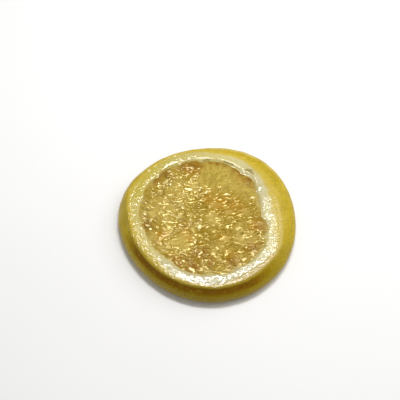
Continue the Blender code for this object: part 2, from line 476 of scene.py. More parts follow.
# The pith's swells, ripples, grain and pores.
WINDING_SIZE, WINDING = 3 * MM, 0.8 * MM
SWELL_SIZE, SWELL_HEIGHT = 2.9 * MM, 0.12 * MM
RIPPLE_SIZE, RIPPLE_HEIGHT = 1.2 * MM, 0.035 * MM
SWELLS_VARY = ((355, 30, -0.3), (142, 32, -0.6))
SWELLS_CALM = ((SHINE_HEADING + 8, 38, -0.62), (DULL_HEADING, 40, -0.4))
GRAIN_SIZE, GRAIN_STRETCH = 0.55 * MM, np.array((0.55, 1.2))
FLESH_GRAIN, PITH_GRAIN = 0.055 * MM, 0.016 * MM
PITH_GRAIN_VARIES = ((355, 36, 2.0), (SHINE_HEADING, 36, -0.5))
PORE_SPACING, PORE_RADIUS, PORE_DEPTH = 0.95 * MM, 0.31, 0.09 * MM
PORES_VARY = ((SHINE_HEADING, 40, 0.6),)
BUNDLES_SMOOTH = 0.6

# Distances over which relief fades at the base, the wall's gloss below the lip, and juice in the pith.
BASE_FADE = 0.6 * MM
WALL_FADE = 0.6 * MM
SEEP_REACH = 0.9 * MM
MERGE_DISTANCE = 0.001 * MM

# Ends of fibre bundles in the pith: (x, y, radius), in millimetres.
BUNDLES = (
    (-1.3, 22.6, 0.75), (-0.4, 22.7, 0.75), (5.8, 22.0, 0.6), (6.7, 21.7, 0.65), (7.6, 21.3, 0.65),
    (8.4, 20.9, 0.55), (13.8, 18.3, 0.8), (14.7, 18.1, 0.95), (15.6, 17.0, 0.5), (17.2, 9.9, 0.55),
    (18.5, -12.4, 0.9), (-22.3, 8.3, 0.6), (-12.6, 20.0, 0.5),
)


def soft_side(angle):
    """1 where the lip is well rounded and 0 where it is sharp."""
    return near_heading(angle, SOFT_HEADING, SOFT_SPREAD)


def peel_thickness(angle, rind):
    """How far in from the skin the yellow of the peel reaches."""
    return rind.peel_depth * varied(angle, THICK_PEEL)


def shade_band_side(angle):
    """1 on the side of the peel that gets a band of painted shade below the cut, and 0 on the other."""
    return within_headings(angle, SHADE_BAND_HEADING, SHADE_BAND_HALF, SHADE_BAND_FADE)


def edge_drop(angle):
    """How far below the pith the pulp's edge is."""
    return EDGE_DROP + DEEPER_DROP * near_heading(angle, DROP_HEADING, DROP_SPREAD)


def pulp_distance(places):
    """How far places are outside the pulp."""
    from_core = places - CORE
    angle = np.arctan2(from_core[:, 1], from_core[:, 0])
    return np.maximum(length(from_core) - pulp_reach(angle, PULP_RADIUS), 0)


def rind_profile(angle, share):
    """(place, depth below the skin, drop below the lip) at shares of the way round the section."""
    top_edge = CORE + polar(pulp_reach(angle, PULP_RADIUS), angle)
    low_edge = CORE + polar(pulp_reach(angle, PULP_RADIUS * PULP_SPREAD), angle)
    lip = lip_point(angle)
    softness = LIP_SOFTNESS * (1 + SOFTER * soft_side(angle))
    rounding = LIP_REACH * softness
    width = length(lip - top_edge)

    up = np.clip(share / WALL_END, 0, 1)
    wall_height = up * (THICKNESS - softness)
    wall = wall_point(angle, wall_height)
    wall = stack(wall, wall_height + (wall @ TOP_TILT) * wall_height / THICKNESS)

    over = np.clip((share - WALL_END) / (LIP_END - WALL_END), 0, 1)[..., None]
    first = wall_point(angle, THICKNESS - softness)
    first = stack(first, THICKNESS - softness + (first @ TOP_TILT) * (1 - softness / THICKNESS))
    middle = stack(lip, top_height(lip))
    inner = blend(lip, top_edge, (rounding / width)[..., None])
    last = stack(inner, top_height(inner))
    rounded = first * (1 - over) ** 2 + middle * 2 * over * (1 - over) + last * over**2

    inward = np.clip((share - LIP_END) / (TOP_END - LIP_END), 0, 1)
    distance = rounding + inward * (width - rounding)
    top = blend(inner, top_edge, inward[..., None])
    fillet = edge_drop(angle) * (1 - smooth((width - distance) / FILLET_WIDTH))
    rounded_crown = PITH_CROWN * varied(angle, CROWN_VARIES) * np.sin(math.pi * inward**CROWN_LEAN)
    sloping_crown = FRONT_SLOPE * distance * (1 - smooth((inward - SLOPE_END) / (1 - SLOPE_END)))
    crown = blend(rounded_crown, sloping_crown, near_heading(angle, SHINE_HEADING, SLOPE_SPREAD))
    top = stack(top, top_height(top) + crown - fillet)

    down = np.clip((share - TOP_END) / (INNER_END - TOP_END), 0, 1)
    inside = blend(top_edge, low_edge, down[..., None])
    inside = stack(inside, (top_height(top_edge) - edge_drop(angle)) * (1 - down) + UNDER_RISE * down)

    out = np.clip((share - INNER_END) / (1 - INNER_END), 0, 1)
    base = wall_point(angle, np.zeros_like(angle))
    under = blend(low_edge, base, out[..., None])
    under = stack(under, UNDER_RISE * (1 - smooth(out / UNDER_EDGE)))

    zones = (share < WALL_END, share < LIP_END, share < TOP_END, share < INNER_END)
    shape = np.select([zone[..., None] for zone in zones], (wall, rounded, top, inside), under)
    nothing = np.zeros_like(share)
    over = over[..., 0]
    depths = (nothing, over**2 * rounding, distance, nothing + DEEP_INSIDE)
    depth = np.select(zones, depths, length(base - low_edge) * (1 - out))
    drop = np.select(zones[:2], (THICKNESS - wall_height, softness * (1 - over)), nothing)
    return shape, depth, drop


def skin_relief(places, angle, share, in_peel, rind):
    """(relief, oil glands) of the skin, in three dimensions so that they run on down the wall."""
    glands, dents = np.zeros((2, len(places)))
    for index in np.flatnonzero(in_peel):
        place = Vector(places[index])
        dents[index] = noise.noise(place / DENT_SIZE)
        if share[index] < LIP_END:
            glands[index] = 1 - smooth(noise.voronoi(place / rind.gland_spacing)[0][0] / GLAND_RADIUS)
    at_lip = smooth((share - WALL_END + SHARE_FADE / 2) / SHARE_FADE) * (share < TOP_END)
    skin = DENT_HEIGHT * dents + LIP_GRAIN_HEIGHT * at_lip * waves(places[:, :2], LIP_GRAIN_SIZE, seed=7)
    # Glands are shallower under the band of painted shade.
    return skin - rind.gland_depth * glands * (1 - GLANDS_UNDER_SHADE_BAND * shade_band_side(angle)), glands


def rind_relief(places, angle, share, depth, rind):
    """(relief, oil glands, fibre bundles, pores) over the rind."""
    flat = places[:, :2]
    on_top = smooth((share - LIP_END + SHARE_FADE) / SHARE_FADE) * (share < TOP_END)
    in_peel = 1 - smooth(depth / SKIN_DEPTH)
    skin, glands = skin_relief(places, angle, share, in_peel, rind)
    border = (depth - peel_thickness(angle, rind)) / MM + BORDER_WANDER * waves(flat, BORDER_SIZE, seed=8)
    in_pith = smooth(border / PITH_FADE + PITH_START)
    swell = SWELL_HEIGHT * waves(warped(flat, WINDING_SIZE, WINDING, seed=11), SWELL_SIZE, seed=3)
    swell += RIPPLE_HEIGHT * waves(flat, RIPPLE_SIZE, seed=5)
    swell *= varied(angle, SWELLS_VARY) * varied(angle, SWELLS_CALM)
    grain = blend(FLESH_GRAIN, PITH_GRAIN * varied(angle, PITH_GRAIN_VARIES), in_pith)
    swell += grain * waves(flat * GRAIN_STRETCH, GRAIN_SIZE, seed=6)
    pores = cells(flat / PORE_SPACING, seed=13)[0]
    pores = in_pith * on_top * (1 - smooth(pores / PORE_RADIUS))
    swell -= PORE_DEPTH * pores * varied(angle, PORES_VARY)
    step = PEEL_STEP * (1 - smooth(border / STEP_FADE + STEP_START)) * (1 - soft_side(angle))
    step *= varied(angle, STEP_VARIES)
    bundles = draw_spots(BUNDLES, flat) * on_top
    cut = swell * (1 - in_peel) * (1 - BUNDLES_SMOOTH * bundles) + step
    return skin * in_peel + on_top * cut, glands, bundles, pores


def make_rind(context):
    rind = context.scene.yuzu_rind
    piece = new_piece(
        "rind", bpy.ops.mesh.primitive_torus_add,
        major_segments=RIND_STEPS, minor_segments=SECTION_STEPS, major_radius=1, minor_radius=RING_TUBE)
    edit((bpy.ops.mesh.subdivide, {"number_cuts": RIND_CUTS}))
    ring = read_places(piece)
    angle = np.arctan2(ring[:, 1], ring[:, 0]) % math.tau
    share = np.arctan2(ring[:, 2], np.hypot(ring[:, 0], ring[:, 1]) - 1) / math.tau % 1
    places, depth, drop = rind_profile(angle, share)
    write_places(piece, places)
    relief, glands, bundles, pores = rind_relief(places, angle, share, depth, rind)
    places += read_normals(piece) * (relief * smooth(places[:, 2] / BASE_FADE))[:, None]
    places[:, 2] = np.maximum(places[:, 2], 0)
    write_places(piece, places)
    write_attributes(
        piece,
        depth=depth / peel_thickness(angle, rind),
        drop=drop,
        # "ripe" is 0 on the front side, where the skin and the peel's flesh get painted shade.
        ripe=1 - near_heading(angle, *PAINTED_SHADE_SIDE),
        # "soaked" is 1 where the band of painted shade lies below the cut.
        soaked=shade_band_side(angle),
        stain=near_heading(angle, *STAINED_SIDE),
        amber=near_heading(angle, *AMBER_SIDE),
        pale=np.minimum(sum(near_heading(angle, *side) for side in PALE_SIDES), 1),
        wall=smooth(drop / WALL_FADE),
        seep=fall_off(pulp_distance(places[:, :2]) / SEEP_REACH),
        gland=glands,
        bundle=bundles,
        pore=pores,
    )
    edit(
        (bpy.ops.mesh.remove_doubles, {"threshold": MERGE_DISTANCE}),
        (bpy.ops.mesh.normals_make_consistent, {}),
    )
    hand_over(piece, rind_material(rind))


# Pulp -----------------------------------------------------

# A film of juice lies over the back right of the pulp and smooths it: (x, y, radius), in millimetres.
FILM = ((5.0, 17.0, 9.0), (12.0, 12.5, 6.5), (-1.5, 18.0, 5.5), (1.0, 12.5, 5.0))
FIRST_FILMED = 8
FILM_SIZE, FILM_WANDER, FILM_GAIN, FILM_EDGE = 4 * MM, 1.2 * MM, 1.9, 0.4

# Other places where the pulp is smooth, and where its lumps are large.
CALM = (
    (-9.2, -10.9, 3.0), (-8.0, -13.2, 1.6), (-19.6, 0.2, 1.8), (-5.0, 12.0, 1.6), (11.2, -10.8, 1.8),
    (7.0, 1.0, 1.8), (12.5, 0.5, 2.0), (17.4, -4.2, 1.8), (2.5, 4.0, 1.6), (14.6, -10.4, 2.0),
    (3.0, -17.5, 1.4), (-9.2, -9.6, 3.2), (-11.5, -11.5, 2.0), (1.0, -1.5, 2.0), (6.0, -9.8, 1.6),
    (-8.6, -12.2, 3.0), (-6.9, -9.2, 1.8),
)
COARSE = ((9.0, -13.0, 7.0), (-17.0, -8.5, 3.4), (-4.0, -18.5, 5.0), (-3.5, 9.0, 3.0), (14.5, -5.5, 3.5))

# Where fine folds stand out more than the lumps.
FOLDED = ((4.0, 1.0, 9.0), (12.0, 2.0, 7.0), (6.0, -6.0, 7.0), (10.0, -13.0, 8.0), (-2.0, -18.0, 6.0))

# Colours of the cut where they differ.
TINTS = {
    "brown": (
        (-6.0, 20.6, 3.4), (-9.0, 19.5, 2.2), (-3.6, 20.6, 2.0), (-15.8, 17.4, 2.8), (-19.0, 15.0, 2.4),
        (17.6, -4.4, 2.6), (14.6, -13.8, 3.0), (7.5, -19.4, 2.6), (0.7, -19.5, 1.8), (0.8, -17.0, 1.3),
        (-10.0, -19.3, 2.6), (-6.0, -20.3, 3.4), (-3.0, -15.5, 3.0), (14.4, 14.4, 2.6), (10.4, 18.2, 1.8),
        (0.6, 21.8, 1.2), (3.3, 21.8, 1.4), (6.3, 20.8, 1.3), (9.1, 19.0, 1.4), (12.0, 16.9, 1.3),
        (14.6, 13.8, 1.4), (16.0, 11.0, 1.2), (-21.8, -5.0, 2.0),
    ),
    "orange": (
        (-5.5, 18.8, 2.4), (4.2, 4.3, 3.6), (9.0, 3.0, 3.4), (11.5, 14.9, 1.7), (0.0, 6.5, 3.2),
        (15.5, -4.5, 2.0), (-15.9, -8.4, 2.2), (-8.0, -5.5, 2.4), (-6.6, -9.5, 2.0), (4.5, -9.5, 2.0),
        (-11.0, -18.0, 1.8), (7.0, -17.0, 2.0),
    ),
    "golden": (
        (2.0, 1.5, 7.5), (9.0, 1.5, 7.5), (14.0, 0.0, 6.0), (9.0, -11.0, 7.5), (13.0, -9.0, 6.5),
        (1.0, -10.0, 6.5), (-13.0, -17.0, 3.5), (-4.0, 3.0, 5.0), (4.0, -17.0, 5.0),
    ),
    "pale": (
        (-19.0, -9.5, 2.6), (-15.0, -13.0, 3.0), (-19.5, 1.0, 5.4), (-14.5, 3.5, 5.4), (1.5, -2.5, 2.6),
        (-12.0, 12.0, 3.4), (2.5, -13.0, 2.4), (11.0, -8.5, 2.6), (-5.0, 11.5, 2.6),
    ),
}
TINT_SIZE, TINT_WANDER = 2.2 * MM, 0.8 * MM

# Longer folds, each a line through points, in millimetres.
FOLDS = (
    ((-1.0, -8.7), (1.0, -8.1), (4.5, -7.1), (7.9, -6.3), (10.0, -4.7), (11.6, -3.9)),
    ((11.4, -3.4), (12.8, -4.9), (14.2, -5.9), (16.2, -6.7)),
    ((-17.8, -9.5), (-14.4, -9.6)),
    ((-16.9, -7.1), (-14.8, -7.9), (-12.0, -8.3), (-10.0, -7.9)),
    ((-20.3, -7.1), (-19.2, -8.7), (-18.0, -7.4)),
    ((-12.1, 15.3), (-9.6, 14.2), (-7.1, 13.4)),
    ((-6.0, 7.0), (-4.6, 8.7), (-3.2, 8.4), (-0.7, 9.8)),
    ((-8.3, 19.7), (-6.9, 18.5)),
    ((-10.2, 17.0), (-8.6, 16.2), (-7.0, 16.9)),
    ((7.2, -19.2), (8.5, -17.3), (8.2, -15.4), (9.5, -14.2)),
    ((4.6, 1.6), (9.1, 2.5), (12.6, 2.9), (16.2, 3.9)),
    ((6.7, 4.3), (10.2, 5.0), (14.4, 4.9)),
    ((4.6, 6.8), (6.7, 5.6), (8.6, 5.4)),
    ((-20.5, 6.0), (-18.5, 4.8), (-16.4, 2.6)),
    ((2.4, -12.0), (3.8, -13.6), (5.6, -13.0), (6.4, -11.4)),
    ((-9.5, -17.0), (-8.0, -17.6), (-6.6, -17.2)),
    ((-13.6, -11.3), (-12.6, -12.9), (-12.2, -14.4)),
)

# How plainly each membrane shows on the cut, from 0 to 1, beginning with the first.
MEMBRANE_SHOWS = (0.12, 0.1, 0.0, 0.05, 0.3, 0.15, 0.25, 0.2, 0.2, 0.1, 0.0, 0.05)

# Lumps and folds are wider than they are deep, and bow forwards at both sides.
BOW, BOW_REACH = 0.010 / MM, 25 * MM
WOUND_SIZE, WOUND = 2.6 * MM, 0.7 * MM
WIDER = np.array((0.5, 1.25))
LARGER, MOST_COARSE = 1.6, 0.35
PATCH_SIZE, PATCH_LOW, PATCH_GAIN = 1.5 * MM, 0.3, 1.2

# Crests of folds, as shares of the noise that winds them, and of the folds that are drawn.
FOLD_WIDTH, FINE_FOLD_WIDTH, FINER = 0.22, 0.24, 0.6
FOLD_PATCH, FOLD_PATCH_GAIN = 2.2 * MM, 2
LINE_SIZE, LINE_WANDER = 1.6 * MM, 0.25 * MM
LINE_REACH, LINE_SHARPNESS, LINE_SHARE = 0.42 * MM, 1.3, 0.9
FOLDED_CREST = 0.35

# The relief is gentler towards the back left, and steeper where it is folded.
BACK_LEFT, SLICE_SPAN = np.array((-0.66, 0.75)), 52 * MM
FRONT_STEEP, BACK_STEEP, FOLDED_STEEP = 1.75, 1.1, 0.75
SWELL_WIDTH, PULP_SWELL, FOLDED_SWELL = 6 * MM, 0.16 * MM, 0.05 * MM

# Sacs that show through the film, and how far the film and the calm places level the relief.
SAC_BEND, SAC_BEND_SIZE, SAC_BEND_STRETCH = 0.35, 2.5 * MM, 0.4
SAC_EDGE, SAC_HEIGHT, SAC_SHARE = 0.45, 0.018 * MM, 0.6
MOST_CALM = 0.9
FILM_LEVELS_LUMPS, FILM_LEVELS_FOLDS, FILM_LEVELS_SWELL, CALM_LEVELS_SWELL = 0.72, 0.5, 0.7, 0.8
RIM_FADE, RIM_LEAST = 1.3 * MM, 0.25

# A segment's body.
FIRST_SHARE = 0.03
LEAST_GAP, SHOWN_GAP, WIDEST_GAP = 0.01 * MM, 0.12 * MM, 0.25
TUCK = 0.12 * MM
OTHER_SIDE = 97 * MM
GROOVE_DEPTH, GROOVE_WIDTH, GROOVE_START = 0.12 * MM, 0.45 * MM, 0.2
DOME_HEIGHT, DOME_REACH = 0.16 * MM, 1.0 * MM
CORE_DROP, RIM_DROP = 0.2 * MM, 0.08 * MM
UNDER_RELIEF = 0.7
LOWEST = 0.12 * MM
HOLLOW_DEPTH = 0.5 * MM
HAZE_REACH = 1.6 * MM


def film_over(flat, index):
    """1 where the film of juice lies, which only covers the last segments."""
    film = np.clip(draw_spots(FILM, warped(flat, FILM_SIZE, FILM_WANDER, seed=21)) * FILM_GAIN, 0, 1)
    return smooth(film * (1 + FILM_EDGE) - FILM_EDGE) * (index >= FIRST_FILMED)


def lumps_over(flat, wound, folded, pulp):
    """The sacs' swollen tips, which are larger in some places and come in patches where it is folded."""
    stretched = wound * WIDER
    small = waves(stretched, pulp.lump_spacing, seed=41)
    large = LARGER * waves(wound, pulp.lump_spacing * LARGER, seed=43)
    lumps = blend(small, large, MOST_COARSE * draw_spots(COARSE, flat))
    patches = blend(PATCH_LOW, 1.0, smooth(waves(stretched, PATCH_SIZE, seed=47) * PATCH_GAIN + 0.5))
    return lumps * blend(1, patches, folded)


def crests_over(flat, wound, folded, level, pulp):
    """1 on the crests of winding folds, which the film and the calm places level, and of the drawn ones."""
    stretched = wound * WIDER
    folds = crests(stretched, pulp.fold_spacing, FOLD_WIDTH, seed=51)
    folds = np.maximum(folds, FINER * crests(stretched, pulp.fold_spacing * FINER, FINE_FOLD_WIDTH, seed=57))
    folds *= smooth(waves(flat, FOLD_PATCH, seed=53) * FOLD_PATCH_GAIN + 0.5)
    drawn = np.zeros(len(flat))
    for number, points in enumerate(FOLDS):
        away = line_distance(warped(flat, LINE_SIZE, LINE_WANDER, seed=61 + number), np.array(points) * MM)
        drawn = np.maximum(drawn, np.clip(1 - away / LINE_REACH, 0, 1) ** LINE_SHARPNESS)
    return np.maximum(folds * level, LINE_SHARE * drawn) * (1 + FOLDED_CREST * folded)


def sacs_over(index, sideways, distance, pulp):
    """(1 inside a sac and 0 at its wall, the sac's own number)."""
    laid = np.stack((sideways / pulp.sac_width, distance / pulp.sac_length), axis=-1)
    bend = waves(np.stack((sideways, distance * SAC_BEND_STRETCH), axis=-1), SAC_BEND_SIZE, seed=77 + index)
    near, far, number = cells(laid + SAC_BEND * bend[:, None], seed=81 + index)
    return smooth((far - near) / SAC_EDGE), number


def pulp_surface(flat, index, sideways, to_rim, distance, pulp):
    """(height over the cut's sunk plane, film, crest of folds, sac shade) of the pulp."""
    film = film_over(flat, index)
    calm = MOST_CALM * draw_spots(CALM, flat)
    folded = draw_spots(FOLDED, flat)
    bowed = flat.copy()
    bowed[:, 1] -= BOW * np.clip(flat[:, 0], -BOW_REACH, BOW_REACH) ** 2
    wound = warped(bowed, WOUND_SIZE, WOUND, seed=31)
    lumps = lumps_over(flat, wound, folded, pulp) * (1 - FILM_LEVELS_LUMPS * film) * (1 - calm)
    crest = crests_over(flat, wound, folded, (1 - film) * (1 - calm), pulp)
    sac, number = sacs_over(index, sideways, distance, pulp)
    swell = waves(flat, SWELL_WIDTH, seed=71) * blend(PULP_SWELL, FOLDED_SWELL, folded)
    relief = lumps * pulp.lump_height + crest * pulp.fold_height * (1 - FILM_LEVELS_FOLDS * film)
    to_back_left = smooth(flat @ BACK_LEFT / SLICE_SPAN + 0.5)
    relief *= blend(FRONT_STEEP, BACK_STEEP, to_back_left) + FOLDED_STEEP * folded
    swell *= (1 - FILM_LEVELS_SWELL * film) * (1 - CALM_LEVELS_SWELL * calm)
    relief += film * SAC_HEIGHT * sac + swell
    return relief * blend(RIM_LEAST, 1, smooth(to_rim / RIM_FADE)), film, crest, blend(number, sac, SAC_SHARE)


def pulp_drop(angle, share):
    """How far the pulp's plane is below the cut's, a share of the way out from the core."""
    return blend(EDGE_DROP + CORE_DROP, edge_drop(angle) + RIM_DROP, smooth(share))


def shape_segment(piece, index, pulp):
    grid = read_places(piece)
    across = grid[:, 0] + 0.5
    share = blend(FIRST_SHARE, 1, grid[:, 1] + 0.5)
    is_top = grid[:, 2] > 0.5
    start, end = MEMBRANES[index], MEMBRANES[index + 1]
    middle = pulp_reach(np.array(start + end) / 2, PULP_RADIUS)
    shows = np.where(across < 0.5, MEMBRANE_SHOWS[index], MEMBRANE_SHOWS[(index + 1) % len(MEMBRANE_SHOWS)])
    gap = np.minimum((LEAST_GAP + SHOWN_GAP * shows**2) / (share * middle), (end - start) * WIDEST_GAP)
    angle = blend(start + gap, end - gap, across)
    reach = pulp_reach(angle, np.where(is_top, PULP_RADIUS, PULP_RADIUS * PULP_SPREAD)) + TUCK
    places = pulp_point(angle, share, reach)
    distance = reach * share
    to_membrane = distance * np.sin(np.minimum(across, 1 - across) * min(end - start, math.pi / 2))
    to_rim = reach - distance
    other_side = np.where(is_top, 0, OTHER_SIDE)[:, None]
    sideways = (across - 0.5) * (end - start) * distance
    relief, film, crest, sac = pulp_surface(places + other_side, index, sideways, to_rim, distance, pulp)
    groove = GROOVE_DEPTH * shows * fall_off(to_membrane / GROOVE_WIDTH) * smooth(share / GROOVE_START)
    dome = DOME_HEIGHT * (1 - fall_off(to_rim / DOME_REACH))
    top = top_height(places) - pulp_drop(angle, share) + relief + dome - groove
    low = np.maximum(PULP_SINK - UNDER_RELIEF * (relief + dome) + groove, LOWEST)
    write_places(piece, stack(places, np.where(is_top, top, low)))
    tinted = warped(places, TINT_SIZE, TINT_WANDER, seed=91)
    write_attributes(
        piece,
        film=film,
        calm=draw_spots(CALM, places),
        crest=np.minimum(crest, 1),
        hollow=smooth(0.5 - relief / HOLLOW_DEPTH),
        sac=sac,
        rim=fall_off(to_rim / HAZE_REACH),
        **{tint: draw_spots(spots, tinted) for tint, spots in TINTS.items()},
    )


def make_segments(context):
    pulp = context.scene.yuzu_pulp
    material = pulp_material(pulp)
    for index, width in enumerate(SEGMENT_WIDTHS):
        reach = float(pulp_reach((MEMBRANES[index] + MEMBRANES[index + 1]) / 2, PULP_RADIUS))
        columns, rows = round(reach * math.radians(width) / PULP_GRID), round(reach / PULP_GRID)
        piece = new_slab(f"segment_{index + 1:02d}", columns, rows)
        shape_segment(piece, index, pulp)
        edit((bpy.ops.mesh.normals_make_consistent, {}))
        hand_over(piece, material)


# Membranes and core ---------------------------------------

# A membrane's mesh, and its half width, how it winds and how far its middle stands over its edges.
MEMBRANE_GRID = (6, 130)
MEMBRANE_START = 0.02
THINNEST, SHOWN_WIDTH, WIDENS_FROM = 0.12 * MM, 0.30 * MM, 0.3
UNEVEN_WIDTH, UNEVEN_SIZE = 0.5, 2 * MM
WINDS, WINDS_SIZE = 0.12 * MM, 3 * MM
SHOWN_HEIGHT, HIDDEN_DEPTH = 0.45 * MM, 0.42 * MM
HEIGHT_WAVES, HEIGHT_SIZE = 0.10 * MM, 1.6 * MM
ROUNDED_BY = 0.15 * MM
MEMBRANE_OVERLAP = 0.5 * MM
LINE_APART = 7 * MM

# The core's cylinder, and the rings and swells of its ends.
CORE_SIDES, CORE_RADIUS, CORE_BASE = 96, 0.8 * MM, 0.5 * MM
CORE_SCALE = (2.4, 1.4, 1)
END_FACES, CORE_RINGS, RING_WIDTH = 0.9, 6, 0.12 * MM
CORE_SWELL, CORE_SWELL_SIZE, CORE_SINK = 0.14 * MM, 0.9 * MM, 0.05 * MM


def shape_membrane(piece, index, shows):
    grid = read_places(piece)
    is_top = grid[:, 2] > 0.5
    side = grid[:, 0] * 2
    share = blend(MEMBRANE_START, 1, grid[:, 1] + 0.5)
    angle = np.full(len(grid), MEMBRANES[index])
    reach = pulp_reach(angle, np.where(is_top, PULP_RADIUS, PULP_RADIUS * PULP_SPREAD)) + MEMBRANE_OVERLAP
    places = pulp_point(angle, share, reach)
    line = np.stack((share * reach, np.full(len(grid), index * LINE_APART)), axis=-1)
    half = THINNEST + SHOWN_WIDTH * shows * smooth((share - WIDENS_FROM) / (1 - WIDENS_FROM))
    half *= 1 + UNEVEN_WIDTH * waves(line, UNEVEN_SIZE, seed=101)
    aside = side * half + WINDS * waves(line, WINDS_SIZE, seed=103)
    places = places + aside[:, None] * polar(1, MEMBRANES[index] + math.pi / 2)
    rounded = ROUNDED_BY * side**2
    proud = SHOWN_HEIGHT * shows - HIDDEN_DEPTH + HEIGHT_WAVES * waves(line, HEIGHT_SIZE, seed=105)
    top = top_height(places) - pulp_drop(angle, share) + proud - rounded
    write_places(piece, stack(places, np.where(is_top, top, PULP_SINK + rounded)))


def make_membranes(context):
    material = membrane_material(context.scene.yuzu_pulp)
    for index, shows in enumerate(MEMBRANE_SHOWS):
        piece = new_slab(f"membrane_{index + 1:02d}", *MEMBRANE_GRID)
        shape_membrane(piece, index, shows)
        edit((bpy.ops.mesh.normals_make_consistent, {}))
        hand_over(piece, material)


def make_core(context):
    """The fruit's middle column, drawn out to a streak, from just over the base to just under the cut."""
    low, high = CORE_BASE, float(top_height(CORE)) - EDGE_DROP - RIM_DROP
    pivot = (*CORE, (low + high) / 2)
    piece = new_piece(
        "core", bpy.ops.mesh.primitive_cylinder_add,
        vertices=CORE_SIDES, radius=CORE_RADIUS, depth=high - low, location=pivot)
    bpy.ops.object.transform_apply()
    edit(
        (bpy.ops.transform.resize, {"value": CORE_SCALE, "center_override": pivot}),
        (bpy.ops.transform.rotate, {"value": -CORE_HEADING, "orient_axis": "Z", "center_override": pivot}),
    )
    bpy.ops.object.mode_set(mode="EDIT")
    bpy.ops.mesh.select_mode(type="FACE")
    bpy.ops.mesh.select_all(action="DESELECT")
    bpy.ops.object.mode_set(mode="OBJECT")
    for face in piece.data.polygons:
        face.select = abs(face.normal.z) > END_FACES
    bpy.ops.object.mode_set(mode="EDIT")
    for _ in range(CORE_RINGS):
        bpy.ops.mesh.inset(thickness=RING_WIDTH)
    bpy.ops.object.mode_set(mode="OBJECT")
    places = read_places(piece)
    side = np.where(places[:, 2] > THICKNESS / 2, 1, -1)
    places[:, 2] += side * (CORE_SWELL * waves(places[:, :2], CORE_SWELL_SIZE, seed=111) - CORE_SINK)
    write_places(piece, places)
    hand_over(piece, membrane_material(context.scene.yuzu_pulp))


# Materials ------------------------------------------------

# Each material's surface, in the order of the shader's inputs.
SURFACE_INPUTS = (
    "Roughness", "IOR", "Coat Weight", "Coat Roughness", "Coat IOR", "Subsurface Weight", "Subsurface Scale")
SURFACES = {
    "yuzu rind": (0.42, 1.15, 1.0, 0.09, 1.55, 0.2, 1.0 * MM),
    "yuzu pulp": (0.065, 1.52, 0.12, 0.07, 1.5, 0.3, 1.4 * MM),
    "yuzu membrane": (0.3, 1.4, 0.0, 0.07, 1.5, 0.3, 1.2 * MM),
    "floor": (0.8, 1.15, 0.0, 0.07, 1.5, 0.0, 1.0 * MM),
}
SCATTER_RADIUS = (1.0, 0.6, 0.25)


def new_material(name):
    material = bpy.data.materials.new(name)
    material.use_nodes = True
    surface = material.node_tree.nodes["Principled BSDF"]
    for socket, value in zip(SURFACE_INPUTS, SURFACES[name]):
        surface.inputs[socket].default_value = value
    surface.inputs["Subsurface Radius"].default_value = SCATTER_RADIUS
    return material, surface


class Nodes:
    """Adds linked nodes to a material with few words."""

    def __init__(self, material):
        self.tree = material.node_tree

    def add(self, kind, **settings):
        node = self.tree.nodes.new("ShaderNode" + kind)
        for name, value in settings.items():
            setattr(node, name, value)
        return node

    def fill(self, socket, value):
        """Gives an input a number, a colour, the attribute of a name or another node's output."""
        if isinstance(value, str):
            value = self.add("Attribute", attribute_name=value).outputs["Fac"]
        if isinstance(value, bpy.types.NodeSocket):
            self.tree.links.new(value, socket)
        elif isinstance(value, (int, float)):
            socket.default_value = value
        else:
            socket.default_value = (*value, 1)

    def texture(self, kind, size):
        node = self.add(kind)
        self.fill(node.inputs["Vector"], self.add("TexCoord").outputs["Object"])
        self.fill(node.inputs["Scale"], 1 / size)
        return node

    def noise(self, size, detail=3.0, roughness=0.5, distortion=0.0):
        node = self.texture("TexNoise", size)
        for name, value in zip(("Detail", "Roughness", "Distortion"), (detail, roughness, distortion)):
            self.fill(node.inputs[name], value)
        return node.outputs["Fac"]

    def cells(self, size):
        return self.texture("TexVoronoi", size).outputs["Distance"]

    def ramp(self, value, low, high, to_low=0.0, to_high=1.0):
        node = self.add("MapRange", clamp=True, interpolation_type="SMOOTHSTEP")
        names = ("Value", "From Min", "From Max", "To Min", "To Max")
        for name, value in zip(names, (value, low, high, to_low, to_high)):
            self.fill(node.inputs[name], value)
        return node.outputs["Result"]

    def patches(self, noise, ramp):
        return self.ramp(self.noise(*noise), *ramp)

    def math(self, operation, first, second):
        node = self.add("Math", operation=operation)
        for socket, value in zip(node.inputs, (first, second)):
            self.fill(socket, value)
        return node.outputs["Value"]

    def times(self, first, second):
        return self.math("MULTIPLY", first, second)

    def mix(self, factor, first, second):
        node = self.add("Mix", data_type="RGBA")
        for name, value in (("Factor", factor), ("A", first), ("B", second)):
            self.fill(next(s for s in node.inputs if s.name == name and s.enabled), value)
        return next(s for s in node.outputs if s.enabled)

    def paint(self, colour, *layers):
        """A colour with layers over it: (share, colour)."""
        for share, tint in layers:
            colour = self.mix(share, colour, tint)
        return colour

    def bump(self, height, distance, strength):
        node = self.add("Bump")
        for name, value in (("Height", height), ("Distance", distance), ("Strength", strength)):
            self.fill(node.inputs[name], value)
        return node.outputs["Normal"]


def shade(tint, factor):
    return [channel * factor for channel in tint]


# Each noise below is (size, detail, roughness, distortion), as far as it differs from the plain one, and each
# ramp (from, to, what it gives up to there, what it gives from there on). A bump is (height, strength).

# The borders between skin, flesh and pith, by depth as a share of the peel's thickness.
BORDER_NOISE, BORDER_UNEVEN = (2.0 * MM,), 0.8
SKIN_TO_FLESH, FLESH_TO_PITH = (0.05, 0.35), (0.6, 1.5)

# The skin: greener patches, darker glands and speckles, and the dark band of painted shade below the cut, by
# the drop below the lip.
PATCHES = (5 * MM,), (0.35, 0.7, 0.0, 0.35)
GLANDS_DARKEN, GLAND_SHADE = (0.1, 0.9, 0.0, 0.5), 0.5
SPECKLES = (0.5 * MM, 2.0), (0.42, 0.66)
SKIN_SPECKLED, SKIN_SPECKLE_SHADE = 0.42, 0.6
SHADE_BAND_STARTS, SHADE_BAND_ENDS = (0.3 * MM, 0.6 * MM), (1.6 * MM, 2.9 * MM, 1, 0)
